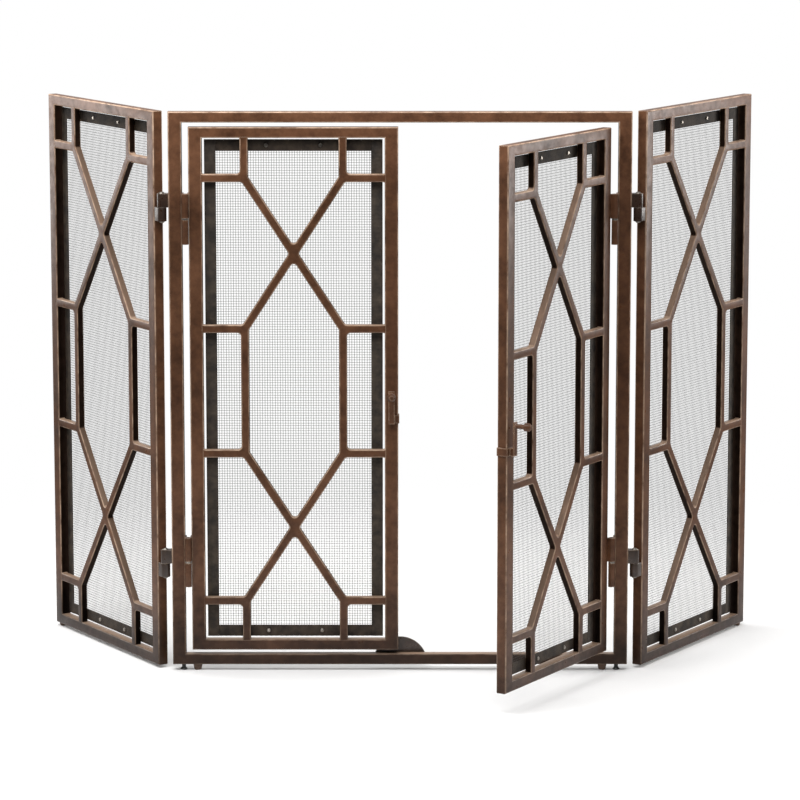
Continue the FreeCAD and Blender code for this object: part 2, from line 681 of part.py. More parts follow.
def door_pull(label, frame, side):
    """A pull on the meeting stile: clip round the edge, strap, neck and rounded head.

    side is +1 where the stile is on the door's +X edge.
    """
    def span(near, far):
        """The two x limits of a box that runs inward from near to far."""
        ends = ("%d * (%s)" % (side, near), "%d * (%s)" % (side, far))
        return ends if side < 0 else ends[::-1]

    edge = "(%s / 2)" % DOOR_WIDTH
    level = "(PullHeight - RailFace - DoorEndGap)"
    clip_low = "(%s - ClipDrop - ClipHeight / 2)" % level
    clip_high = "(%s - ClipDrop + ClipHeight / 2)" % level
    out = span(edge + " + ClipThick", edge)
    around = box(label + "_edge", (out[0], "-ClipThick", clip_low), (out[1], "TubeDepth", clip_high))
    face = span(edge + " + ClipThick", edge + " - ClipReach")
    front = box(label + "_face", (face[0], "-ClipThick", clip_low), (face[1], "0", clip_high))
    middle = edge + " - StileFace / 2"
    strap_x = span(middle + " + StrapWidth / 2", middle + " - StrapWidth / 2")
    strap_back = "(-StrapStandoff)"
    strap_front = "(-StrapStandoff - StrapThick)"
    strap = box(label + "_strap", (strap_x[0], strap_front, clip_low),
                (strap_x[1], strap_back, level + " + HeadRadius"))
    bracket = box(label + "_bracket", (strap_x[0], strap_front, clip_low),
                  (strap_x[1], "0", clip_high))
    head = doc.addObject("PartDesign::Body", label + "_knob")
    sketch = new_sketch(head, label + "_knob_half", "XY_Plane")
    tip = "(%s - NeckLength - HeadLength)" % strap_front
    closed_outline(sketch, "p", [
        ("0", strap_back), ("NeckRadius", strap_back), ("NeckRadius", strap_front + " - NeckLength"),
        ("HeadRadius", strap_front + " - NeckLength - HeadLength * HeadShoulder"),
        ("HeadRadius", tip + " + HeadLength * HeadCrown"), ("HeadRadius * HeadTipRatio", tip),
        ("0", tip)])
    turned = head.newObject("PartDesign::Revolution", label + "_knob_turned")
    turned.Profile = sketch
    turned.ReferenceAxis = (sketch, ["V_Axis"])
    turned.Angle = 360
    head.setExpression("Placement.Base.x", bound("%d * (%s)" % (side, middle)))
    head.setExpression("Placement.Base.z", bound(level))
    whole = doc.addObject("Part::MultiFuse", label + "_joined")
    whole.Shapes = [around, front, strap, bracket, head]
    add_node(whole, label, frame)


# ---- the whole screen --------------------------------------------------------------------

tube_frame("centre_", CENTER, ("left_jamb", "right_jamb", "bottom_rail", "top_rail"),
           "CenterWidth", "CenterHeight", "FootHeight")
door_stop()
feet()

PANELS = (
    ("left_door_", LEFT_DOOR, ("hinge_stile", "meeting_stile"),
     DOOR_WIDTH, DOOR_HEIGHT, "DoorCornerDrop", "DoorJunctionDrop"),
    ("right_door_", RIGHT_DOOR, ("meeting_stile", "hinge_stile"),
     DOOR_WIDTH, DOOR_HEIGHT, "DoorCornerDrop", "DoorJunctionDrop"),
    ("left_wing_", LEFT_WING, ("outer_stile", "inner_stile"),
     "WingWidth", WING_HEIGHT, "WingCornerDrop", "WingJunctionDrop"),
    ("right_wing_", RIGHT_WING, ("inner_stile", "outer_stile"),
     "WingWidth", WING_HEIGHT, "WingCornerDrop", "WingJunctionDrop"),
)
for prefix, frame, stiles, width, height, corner, junction in PANELS:
    tube_frame(prefix, frame, stiles + ("bottom_rail", "top_rail"), width, height, "0")
    lattice_bars(prefix + "lattice_bars", frame, width, height, corner, junction)
    lattice_diagonals(prefix + "lattice_diagonals", frame, width, height, corner, junction)
    mesh_panel(prefix, frame, width, height)

door_hinges("left_door_hinge_", LEFT_DOOR, LEFT)
door_hinges("right_door_hinge_", RIGHT_DOOR, RIGHT)
wing_hinges("left_wing_hinge_", LEFT_WING, LEFT)
wing_hinges("right_wing_hinge_", RIGHT_WING, RIGHT)
wing_foot("left_wing_foot", LEFT_WING, LEFT)
wing_foot("right_wing_foot", RIGHT_WING, RIGHT)
door_pull("left_door_pull", LEFT_DOOR, RIGHT)
door_pull("right_door_pull", RIGHT_DOOR, LEFT)

doc.recompute()

for item in doc.Objects:
    if "Invalid" in item.State or "Error" in item.State:
        raise RuntimeError("%s did not build: %s" % (item.Label, item.State))

os.makedirs("parts", exist_ok=True)
for item in nodes:
    if item.Shape.isNull() or not item.Shape.isValid() or not item.Shape.Solids:
        raise RuntimeError("%s has no valid solid" % item.Label)
    item.Shape.exportStep("parts/%s.step" % item.Label)
    print(item.Label, len(item.Shape.Solids), round(item.Shape.Volume / 1000, 2))
print(len(nodes), "sub-parts")
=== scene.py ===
import math

import bmesh
import bpy
import numpy as np
from mathutils import Matrix, Vector
from mathutils.geometry import tessellate_polygon


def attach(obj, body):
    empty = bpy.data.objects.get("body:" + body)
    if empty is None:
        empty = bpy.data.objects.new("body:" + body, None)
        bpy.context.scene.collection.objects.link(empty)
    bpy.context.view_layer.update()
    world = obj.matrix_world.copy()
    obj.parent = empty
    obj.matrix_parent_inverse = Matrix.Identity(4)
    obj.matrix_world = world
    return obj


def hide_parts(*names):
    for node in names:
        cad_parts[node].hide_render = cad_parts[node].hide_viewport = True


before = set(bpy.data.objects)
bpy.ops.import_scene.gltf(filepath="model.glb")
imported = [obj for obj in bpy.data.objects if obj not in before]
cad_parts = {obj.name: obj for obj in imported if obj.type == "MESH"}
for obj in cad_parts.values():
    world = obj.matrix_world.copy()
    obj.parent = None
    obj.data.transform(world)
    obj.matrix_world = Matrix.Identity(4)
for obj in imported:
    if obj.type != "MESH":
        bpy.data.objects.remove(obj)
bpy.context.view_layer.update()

# --- Studio -------------------------------------------------------------------------------
# A pale round floor that fades into white air. A long lamp hangs in front and above, and two
# tall lamps stand behind the screen on each side, so that turned panels catch their sheen.

floor_radius, fade_from, floor_sides = 1.5, 0.6, 64
floor_mesh = bpy.data.meshes.new("studio_floor")
around = [math.radians(360 * step / floor_sides) for step in range(floor_sides)]
floor_edge = [(floor_radius * math.cos(a), floor_radius * math.sin(a), 0) for a in around]
floor_mesh.from_pydata(floor_edge, [], [tuple(range(floor_sides))])
floor = bpy.data.objects.new("studio_floor", floor_mesh)
bpy.context.scene.collection.objects.link(floor)
paper = bpy.data.materials.new("studio_paper")
paper.use_nodes = True
paper_tree = paper.node_tree
paper_shader = paper_tree.nodes["Principled BSDF"]
paper_shader.inputs["Base Color"].default_value = (0.93, 0.925, 0.92, 1)
paper_shader.inputs["Roughness"].default_value = 0.9
paper_shader.inputs["Specular IOR Level"].default_value = 0.1
paper_place = paper_tree.nodes.new("ShaderNodeTexCoord")
from_middle = paper_tree.nodes.new("ShaderNodeVectorMath")
from_middle.operation = "LENGTH"
paper_fade = paper_tree.nodes.new("ShaderNodeMapRange")
paper_fade.interpolation_type = "SMOOTHSTEP"
paper_fade.inputs["From Min"].default_value = fade_from
paper_fade.inputs["From Max"].default_value = floor_radius
paper_fade.inputs["To Min"].default_value = 1
paper_fade.inputs["To Max"].default_value = 0
paper_tree.links.new(paper_place.outputs["Object"], from_middle.inputs[0])
paper_tree.links.new(from_middle.outputs["Value"], paper_fade.inputs["Value"])
paper_tree.links.new(paper_fade.outputs[0], paper_shader.inputs["Alpha"])
floor.data.materials.append(paper)


def softbox(name, place, aim, width, height, watts, tint=(1, 1, 1)):
    light = bpy.data.lights.new(name, "AREA")
    light.shape = "RECTANGLE"
    light.size, light.size_y = width, height
    light.energy = watts
    light.color = tint
    lamp = bpy.data.objects.new(name, light)
    lamp.location = place
    lamp.rotation_euler = (Vector(aim) - Vector(place)).to_track_quat("-Z", "Y").to_euler()
    bpy.context.scene.collection.objects.link(lamp)


softbox("long_lamp", (-0.5, -1.0, 2.1), (0, 0, 0.7), 2.4, 0.7, 46)
softbox("top_lamp", (0, 0.5, 3.0), (0, 0.2, 0), 3.0, 1.6, 30)
softbox("left_lamp", (-2.6, 1.4, 1.0), (0, 0, 0.5), 1.2, 1.5, 29, (1, 0.98, 0.96))
softbox("right_lamp", (2.8, 1.0, 1.05), (0, 0, 0.5), 0.9, 1.5, 42, (1, 0.98, 0.96))

# White air where the camera sees it. What lights the screen is dim in front and below.
world = bpy.data.worlds.new("studio_air")
bpy.context.scene.world = world
world.use_nodes = True
air = world.node_tree
for node in list(air.nodes):
    air.nodes.remove(node)
seen = air.nodes.new("ShaderNodeBackground")
seen.inputs["Color"].default_value = (1, 1, 1, 1)
felt = air.nodes.new("ShaderNodeBackground")
felt.inputs["Color"].default_value = (0.98, 0.99, 1, 1)
whichway = air.nodes.new("ShaderNodeTexCoord")
compass = air.nodes.new("ShaderNodeSeparateXYZ")
air.links.new(whichway.outputs["Generated"], compass.inputs[0])
strengths = []
for axis, low, high, dim, bright in (("Y", -0.9, 0.1, 0.12, 0.6), ("Z", -0.25, 0.05, 0.15, 1.0)):
    grade = air.nodes.new("ShaderNodeMapRange")
    grade.interpolation_type = "SMOOTHSTEP"
    grade.inputs["From Min"].default_value = low
    grade.inputs["From Max"].default_value = high
    grade.inputs["To Min"].default_value = dim
    grade.inputs["To Max"].default_value = bright
    air.links.new(compass.outputs[axis], grade.inputs["Value"])
    strengths.append(grade.outputs[0])
joint_strength = air.nodes.new("ShaderNodeMath")
joint_strength.operation = "MULTIPLY"
for socket, strength in zip(joint_strength.inputs, strengths):
    air.links.new(strength, socket)
air.links.new(joint_strength.outputs[0], felt.inputs["Strength"])
ray = air.nodes.new("ShaderNodeLightPath")
either = air.nodes.new("ShaderNodeMixShader")
out = air.nodes.new("ShaderNodeOutputWorld")
air.links.new(ray.outputs["Is Camera Ray"], either.inputs[0])
air.links.new(felt.outputs[0], either.inputs[1])
air.links.new(seen.outputs[0], either.inputs[2])
air.links.new(either.outputs[0], out.inputs[0])
bpy.context.scene.view_settings.view_transform = "Standard"

camera_away, camera_height, camera_dip, focal_length = 5.413, 1.335, 9.71, 166.6
lens = bpy.data.cameras.new("camera")
lens.lens, lens.sensor_width = focal_length, 36.0
camera = bpy.data.objects.new("camera", lens)
camera.location = (0, -camera_away, camera_height)
camera.rotation_euler = (math.radians(90 - camera_dip), 0, 0)
bpy.context.scene.collection.objects.link(camera)
bpy.context.scene.camera = camera

# --- Centre frame -------------------------------------------------------------------------
# Four lengths of rectangular steel tube, mitred and welded. The whole screen is finished in
# antique bronze paint: brown, mottled darker by hand, and rubbed back along the edges. The
# rubbed edges double as painted highlights, and the colour also carries painted shade.


def group_sockets(group, inputs, outputs):
    for name, kind, value in inputs:
        socket = group.interface.new_socket(name=name, in_out="INPUT", socket_type=kind)
        socket.default_value = value
    for name, kind in outputs:
        group.interface.new_socket(name=name, in_out="OUTPUT", socket_type=kind)


FLOAT, COLOUR = "NodeSocketFloat", "NodeSocketColor"


def noise(tree, place, scale, detail, roughness=0.5):
    """A noise texture over an object's own space; scale is in patches per metre."""
    texture = tree.nodes.new("ShaderNodeTexNoise")
    texture.inputs["Scale"].default_value = scale
    texture.inputs["Detail"].default_value = detail
    texture.inputs["Roughness"].default_value = roughness
    tree.links.new(place, texture.inputs["Vector"])
    return texture.outputs["Fac"]


def math_node(tree, operation, first, second, clamp=False):
    node = tree.nodes.new("ShaderNodeMath")
    node.operation = operation
    node.use_clamp = clamp
    for socket, value in zip(node.inputs, (first, second)):
        if isinstance(value, (int, float)):
            socket.default_value = value
        else:
            tree.links.new(value, socket)
    return node.outputs[0]


def blend_colour(tree, mask, first, second):
    node = tree.nodes.new("ShaderNodeMix")
    node.data_type = "RGBA"
    for number, value in ((0, mask), (6, first), (7, second)):
        socket = node.inputs[number]
        if isinstance(value, (int, float, tuple)):
            socket.default_value = value
        else:
            tree.links.new(value, socket)
    return node.outputs[2]


def spread_mask(tree, value, low, high):
    """Stretches a value so that low becomes 0 and high becomes 1."""
    node = tree.nodes.new("ShaderNodeMapRange")
    node.inputs["From Min"].default_value = low
    node.inputs["From Max"].default_value = high
    node.clamp = True
    tree.links.new(value, node.inputs["Value"])
    return node.outputs[0]


# Edge rub and painted highlight: a mask that is 1 where a surface turns sharply, broken up by
# noise. It stands partly for paint rubbed off the edges and partly for the highlight they catch.
bevel_samples, rub_highlight_turns, rub_highlight_patches = 4, (0.01, 0.16), (0.3, 0.7)
edge_rub_and_highlight = bpy.data.node_groups.new("edge_rub_and_highlight", "ShaderNodeTree")
group_sockets(edge_rub_and_highlight, [("Width", FLOAT, 0.0015), ("Breakup", FLOAT, 60.0)], [("Rub", FLOAT)])
rub_highlight_in = edge_rub_and_highlight.nodes.new("NodeGroupInput")
rub_highlight_out = edge_rub_and_highlight.nodes.new("NodeGroupOutput")
rounded = edge_rub_and_highlight.nodes.new("ShaderNodeBevel")
rounded.samples = bevel_samples
edge_rub_and_highlight.links.new(rub_highlight_in.outputs["Width"], rounded.inputs["Radius"])
faced = edge_rub_and_highlight.nodes.new("ShaderNodeNewGeometry")
turned = edge_rub_and_highlight.nodes.new("ShaderNodeVectorMath")
turned.operation = "DOT_PRODUCT"
edge_rub_and_highlight.links.new(rounded.outputs[0], turned.inputs[0])
edge_rub_and_highlight.links.new(faced.outputs["Normal"], turned.inputs[1])
sharp = spread_mask(edge_rub_and_highlight, math_node(edge_rub_and_highlight, "SUBTRACT", 1.0, turned.outputs["Value"]),
                    *rub_highlight_turns)
own_place = edge_rub_and_highlight.nodes.new("ShaderNodeTexCoord")
patches = edge_rub_and_highlight.nodes.new("ShaderNodeTexNoise")
patches.inputs["Detail"].default_value = 4
edge_rub_and_highlight.links.new(own_place.outputs["Object"], patches.inputs["Vector"])
edge_rub_and_highlight.links.new(rub_highlight_in.outputs["Breakup"], patches.inputs["Scale"])
edge_rub_and_highlight.links.new(
    math_node(edge_rub_and_highlight, "MULTIPLY", sharp,
              spread_mask(edge_rub_and_highlight, patches.outputs["Fac"], *rub_highlight_patches)),
    rub_highlight_out.inputs["Rub"])

# Mottled paint: large cloudy patches, brushed patches, small specks and a fine orange peel,
# all in patches per metre. Painted shade darkens the colour near the floor, and painted light
# lightens it at the top.
cloud_size, brush_size, speck_size, edge_highlight_breakup, peel_size = 14, 75, 900, 45, 420
cloud_share, brush_share, speck_share = 0.6, 0.4, 0.35
edge_highlight_strength, up_wall_sheen_strength, up_wall_sheen_lift = 0.9, 0.55, 0.9
wall_shade_colour = (0.0035, 0.002, 0.0013, 1)
wall_shade_share, wall_shade_streaks, wall_shade_dull = 0.78, 0.16, 0.25
foot_shade_heights, head_light_heights, height_sway = (0.03, 0.16), (0.70, 0.85), 0.03
mottle = bpy.data.node_groups.new("mottled_paint", "ShaderNodeTree")
group_sockets(
    mottle,
    [("Dark", COLOUR, (0.03, 0.015, 0.008, 1)), ("Light", COLOUR, (0.14, 0.07, 0.04, 1)),
     ("Rubbed", COLOUR, (0.45, 0.30, 0.20, 1)), ("Rub", FLOAT, 0.0),
     ("Smooth", FLOAT, 0.3), ("Dull", FLOAT, 0.55),
     ("Foot_shade", FLOAT, 0.6), ("Head", FLOAT, 1.35)],
    [("Colour", COLOUR), ("Roughness", FLOAT), ("Height", FLOAT), ("Pooled", FLOAT)])
paint_in = mottle.nodes.new("NodeGroupInput")
paint_out = mottle.nodes.new("NodeGroupOutput")
paint_place = mottle.nodes.new("ShaderNodeTexCoord").outputs["Object"]
clouds = spread_mask(mottle, noise(mottle, paint_place, cloud_size, 5, 0.6), 0.32, 0.7)
brushed = spread_mask(mottle, noise(mottle, paint_place, brush_size, 4, 0.65), 0.35, 0.7)
specks = spread_mask(mottle, noise(mottle, paint_place, speck_size, 2), 0.62, 0.75)
both = math_node(mottle, "ADD", math_node(mottle, "MULTIPLY", clouds, cloud_share),
                 math_node(mottle, "MULTIPLY", brushed, brush_share), True)
painted = blend_colour(mottle, both, paint_in.outputs["Dark"], paint_in.outputs["Light"])
speckled = blend_colour(mottle, math_node(mottle, "MULTIPLY", specks, speck_share), painted,
                        paint_in.outputs["Dark"])
marked = {}
for mark in ("edge", "wall"):
    reader = mottle.nodes.new("ShaderNodeAttribute")
    reader.attribute_name = mark
    marked[mark] = reader.outputs["Fac"]
# Painted highlight along the rolled edges of tube and bar, broken up by noise.
painted_edge_highlight = math_node(mottle, "MULTIPLY", spread_mask(mottle, marked["edge"], 0.25, 0.95),
                   spread_mask(mottle, noise(mottle, paint_place, edge_highlight_breakup, 4, 0.6), 0.3, 0.62))
# Painted shade: the walls of the openings are darkened nearly to black and lose their sheen,
# except the walls that face up, which get a painted sheen in the rub colour instead.
facing = mottle.nodes.new("ShaderNodeSeparateXYZ")
mottle.links.new(mottle.nodes.new("ShaderNodeNewGeometry").outputs["Normal"], facing.inputs[0])
turned_up = spread_mask(mottle, facing.outputs["Z"], 0.25, 0.8)
walls = spread_mask(mottle, marked["wall"], 0.45, 0.95)
in_shade = math_node(mottle, "MULTIPLY", walls, math_node(mottle, "SUBTRACT", 1.0, turned_up))
# Painted sheen on the walls that face up, in the rub colour, spared the painted shade by height.
painted_up_wall_sheen = math_node(mottle, "MULTIPLY", walls, turned_up)
rub_and_highlight = math_node(mottle, "MAXIMUM",
                   math_node(mottle, "MAXIMUM", paint_in.outputs["Rub"],
                             math_node(mottle, "MULTIPLY", painted_edge_highlight, edge_highlight_strength)),
                   math_node(mottle, "MULTIPLY", painted_up_wall_sheen, up_wall_sheen_strength))
with_rub_and_highlight = blend_colour(mottle, rub_and_highlight, speckled, paint_in.outputs["Rubbed"])
painted_wall_shade = math_node(mottle, "MULTIPLY", in_shade,
                   math_node(mottle, "ADD", wall_shade_share,
                             math_node(mottle, "MULTIPLY", brushed, wall_shade_streaks)))
rub_highlight_and_shade = blend_colour(mottle, painted_wall_shade, with_rub_and_highlight, wall_shade_colour)
mottle.links.new(painted_wall_shade, paint_out.inputs["Pooled"])
# Painted shade near the floor and painted light at the top, as a scale on the colour.
heights = mottle.nodes.new("ShaderNodeSeparateXYZ")
mottle.links.new(paint_place, heights.inputs[0])
uneven = math_node(mottle, "ADD", heights.outputs["Z"],
                   math_node(mottle, "MULTIPLY", clouds, height_sway))
low_part = spread_mask(mottle, uneven, *foot_shade_heights)
high_part = spread_mask(mottle, uneven, *head_light_heights)
lifts = []
for mask, dim, bright in ((low_part, paint_in.outputs["Foot_shade"], 1.0),
                          (high_part, 1.0, paint_in.outputs["Head"])):
    lift = mottle.nodes.new("ShaderNodeMix")
    lift.data_type = "FLOAT"
    mottle.links.new(mask, lift.inputs[0])
    for socket, value in ((lift.inputs[2], dim), (lift.inputs[3], bright)):
        if isinstance(value, float):
            socket.default_value = value
        else:
            mottle.links.new(value, socket)
    lifts.append(lift.outputs[0])
shade = math_node(mottle, "MAXIMUM", math_node(mottle, "MULTIPLY", *lifts),
                  math_node(mottle, "MULTIPLY", painted_up_wall_sheen, up_wall_sheen_lift))
graded = mottle.nodes.new("ShaderNodeVectorMath")
graded.operation = "SCALE"
mottle.links.new(rub_highlight_and_shade, graded.inputs[0])
mottle.links.new(shade, graded.inputs["Scale"])
mottle.links.new(graded.outputs[0], paint_out.inputs["Colour"])
gloss = mottle.nodes.new("ShaderNodeMix")
gloss.data_type = "FLOAT"
mottle.links.new(brushed, gloss.inputs[0])
mottle.links.new(paint_in.outputs["Dull"], gloss.inputs[2])
mottle.links.new(paint_in.outputs["Smooth"], gloss.inputs[3])
duller = math_node(mottle, "MULTIPLY", painted_wall_shade, wall_shade_dull)
mottle.links.new(math_node(mottle, "ADD", gloss.outputs[0], duller, True),
                 paint_out.inputs["Roughness"])
peel = noise(mottle, paint_place, peel_size, 3)
mottle.links.new(peel, paint_out.inputs["Height"])


soft_edge_width = 0.0008


def painted_metal(name, dark, light, rub_and_highlight, metallic=0.0, smooth=0.3, dull=0.55,
                  rub_highlight_width=0.0015, peel_depth=0.00012, speck=0.5, foot=1.0, head=1.0):
    """A painted metal with mottled colour, edge wear that doubles as painted highlight, painted
    shade and light, and a fine peel.
    """
    material = bpy.data.materials.new(name)
    material.use_nodes = True
    tree = material.node_tree
    shader = tree.nodes["Principled BSDF"]
    paint = tree.nodes.new("ShaderNodeGroup")
    paint.node_tree = mottle
    paint.inputs["Dark"].default_value = (*dark, 1)
    paint.inputs["Light"].default_value = (*light, 1)
    paint.inputs["Rubbed"].default_value = (*rub_and_highlight, 1)
    paint.inputs["Smooth"].default_value = smooth
    paint.inputs["Dull"].default_value = dull
    paint.inputs["Foot_shade"].default_value = foot
    paint.inputs["Head"].default_value = head
    rub_highlight = tree.nodes.new("ShaderNodeGroup")
    rub_highlight.node_tree = edge_rub_and_highlight
    rub_highlight.inputs["Width"].default_value = rub_highlight_width
    tree.links.new(rub_highlight.outputs["Rub"], paint.inputs["Rub"])
    soft_edge = tree.nodes.new("ShaderNodeBevel")
    soft_edge.samples = bevel_samples
    soft_edge.inputs["Radius"].default_value = soft_edge_width
    bump = tree.nodes.new("ShaderNodeBump")
    tree.links.new(soft_edge.outputs[0], bump.inputs["Normal"])
    bump.inputs["Distance"].default_value = peel_depth
    bump.inputs["Strength"].default_value = 0.5
    tree.links.new(paint.outputs["Height"], bump.inputs["Height"])
    tree.links.new(paint.outputs["Colour"], shader.inputs["Base Color"])
    tree.links.new(paint.outputs["Roughness"], shader.inputs["Roughness"])
    tree.links.new(bump.outputs["Normal"], shader.inputs["Normal"])
    # Unless metallic is given, the painted wall shade sets metallic, so the near-black shaded walls
    # give no sheen.
    if metallic:
        shader.inputs["Metallic"].default_value = metallic
    else:
        tree.links.new(paint.outputs["Pooled"], shader.inputs["Metallic"])
    shader.inputs["Specular IOR Level"].default_value = speck
    return material


# Bronze gets painted shade near the floor (foot) and painted light at the top (head).
bronze = painted_metal("antique_bronze", (0.040, 0.0163, 0.0076), (0.166, 0.076, 0.040),
                       (0.54, 0.38, 0.27), smooth=0.26, dull=0.42, speck=0.22,
                       rub_highlight_width=0.0030, foot=0.30, head=1.5)


def carry(names, material):
    """Gives CAD pieces that are shown as they are their finish."""
    for name in names:
        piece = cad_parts[name]
        piece.data.materials.clear()
        piece.data.materials.append(material)


tube_roll, roll_steps, sharp_from = 0.0022, 6, 40


def rolled_corner(roll):
    """A corner of the section: (how far in, depth, how far the surface has turned)."""
    turns = [math.radians(90 * step / roll_steps) for step in range(roll_steps + 1)]
    return [(roll * (1 - math.sin(t)), roll * (1 - math.cos(t)), t) for t in turns]


def shaded_mesh(name, made, angle):
    """The finished mesh, shaded smooth but for the edges that turn more than the angle."""
    mesh = bpy.data.meshes.new(name)
    made.to_mesh(mesh)
    made.free()
    mesh.shade_smooth()
    mesh.set_sharp_from_angle(angle=math.radians(angle))
    return mesh


def welded_ring(name, width, height, depth, stile, rail):
    """Four tubes mitred into one frame."""
    corner = rolled_corner(tube_roll)
    # (side, how far in from that side, depth, turn): round the section, outer face first
    section = [("outer", a, b, t) for a, b, t in corner]
    section += [("outer", a, depth - b, t) for a, b, t in reversed(corner)]
    section += [("inner", a, depth - b, t) for a, b, t in corner]
    section += [("inner", a, b, t) for a, b, t in reversed(corner)]
    made = bmesh.new()
    edge, wall = (made.verts.layers.float.new(mark) for mark in ("edge", "wall"))
    loops = []
    for side, across, y, t in section:
        dx = across if side == "outer" else stile - across
        dz = across if side == "outer" else rail - across
        loops.append([made.verts.new((x * (width / 2 - dx), y, z))
                      for x, z in ((-1, dz), (1, dz), (1, height - dz), (-1, height - dz))])
        # Edge places a painted highlight on the rolled edges; wall places painted shade on the
        # inner walls.
        for vertex in loops[-1]:
            vertex[edge] = math.sin(2 * t)
            vertex[wall] = 2 * t / math.pi if side == "inner" else 0
    for near, far in zip(loops, loops[1:] + loops[:1]):
        for k in range(4):
            made.faces.new((near[k], near[(k + 1) % 4], far[(k + 1) % 4], far[k]))
    bmesh.ops.recalc_face_normals(made, faces=made.faces)
    return shaded_mesh(name, made, sharp_from)


def points_of(node):
    return np.array([v.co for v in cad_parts[node].data.vertices], float)


class Panel:
    """One frame of tube: where it stands, how large it is and what it is part of. Its own
    space starts at the middle of its width, its front face and its bottom edge."""

    def __init__(self, name, first, second):
        self.name = name
        self.body = "center_frame" if name == "centre" else name
        near, far = points_of(name + first), points_of(name + second)
        along = far.mean(0) - near.mean(0)
        along[2] = 0
        along /= np.linalg.norm(along)
        back = np.array([-along[1], along[0], 0])
        tubes = np.vstack([near, far])
        low = [(tubes @ axis).min() for axis in (along, back)]
        high = [(tubes @ axis).max() for axis in (along, back)]
        self.width, self.depth = high[0] - low[0], high[1] - low[1]
        self.stile = np.ptp(near @ along)
        self.height = np.ptp(tubes[:, 2])
        bottom = points_of(name + "_bottom_rail")
        self.rail = np.ptp(bottom[:, 2])
        corner = along * (high[0] + low[0]) / 2 + back * low[1]
        self.place = Matrix(((along[0], back[0], 0, corner[0]),
                             (along[1], back[1], 0, corner[1]),
                             (0, 0, 1, tubes[:, 2].min()),
                             (0, 0, 0, 1)))


def new_piece(name, mesh, material, panel_or_body, slot, *stands_for):
    """A finished mesh as a piece: stood in its panel, riding its body, with its finish."""
    body = panel_or_body
    if isinstance(panel_or_body, Panel):
        mesh.transform(panel_or_body.place)
        body = panel_or_body.body
    piece = bpy.data.objects.new(name, mesh)
    bpy.context.scene.collection.objects.link(piece)
    mesh.materials.clear()
    mesh.materials.append(material)
    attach(piece, body)
    if stands_for:
        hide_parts(*stands_for)


whole = Panel("centre", "_left_jamb", "_right_jamb")
new_piece("centre_frame_tube",
          welded_ring("centre_frame_tube", whole.width, whole.height, whole.depth, whole.stile,
                      whole.rail), bronze, whole, "bronze_paint",
          "centre_left_jamb", "centre_right_jamb", "centre_bottom_rail", "centre_top_rail")

# --- Door and wing frames -----------------------------------------------------------------
# Each door and each wing is a smaller frame of the same tube. The doors hang inside the
# centre frame, and the wings stand beside it.

panels = [Panel("left_door", "_hinge_stile", "_meeting_stile"),
          Panel("right_door", "_meeting_stile", "_hinge_stile"),
          Panel("left_wing", "_outer_stile", "_inner_stile"),
          Panel("right_wing", "_inner_stile", "_outer_stile")]
stiles = {"door": ("_hinge_stile", "_meeting_stile"), "wing": ("_inner_stile", "_outer_stile")}
for panel in panels:
    name = panel.name + "_frame_tube"
    kind = "door" if "door" in panel.name else "wing"
    new_piece(name, welded_ring(name, panel.width, panel.height, panel.depth, panel.stile,
                                panel.rail), bronze, panel, "bronze_paint",
              *[panel.name + part for part in stiles[kind] + ("_bottom_rail", "_top_rail")])

# --- Lattice ------------------------------------------------------------------------------
# Square bar welded into a grille: corner squares, two crosses, and uprights between them.
# The bars' edges are rolled soft, and weld fills each inside corner.

bar, bar_depth, bar_round, weld_radius = 0.012, 0.011, 0.0020, 0.0052
weld_step, weld_share = 15, 0.45
# Clear width beside the uprights, and the heights of the corner bar and of the next one.
side_bay = 0.0555
lattice_levels = {"door": (0.075, 0.2985), "wing": (0.076, 0.322)}
into_tube, past_round, behind_tube, bar_sharp_from = 0.0026, 0.0006, 0.0003, 50


def rounded_outline(corners, radius):
    """The corners of a closed outline, each turned by an arc."""
    made = []
    count = len(corners)
    for index, corner in enumerate(corners):
        here = Vector(corner)
        before = Vector(corners[index - 1]) - here
        after = Vector(corners[(index + 1) % count]) - here
        half_angle = before.angle(after) / 2
        back_off = min(radius / math.tan(half_angle), weld_share * min(before.length, after.length))
        r = back_off * math.tan(half_angle)
        middle = here + (before.normalized() + after.normalized()).normalized() * (
            r / math.sin(half_angle))
        start = here + before.normalized() * back_off
        finish = here + after.normalized() * back_off
        first = math.atan2(*(start - middle).yx)
        swing = math.remainder(math.atan2(*(finish - middle).yx) - first, 2 * math.pi)
        steps = max(2, round(abs(math.degrees(swing)) / weld_step))
        for step in range(steps + 1):
            at = first + swing * step / steps
            made.append((middle.x + r * math.cos(at), middle.y + r * math.sin(at)))
    return made


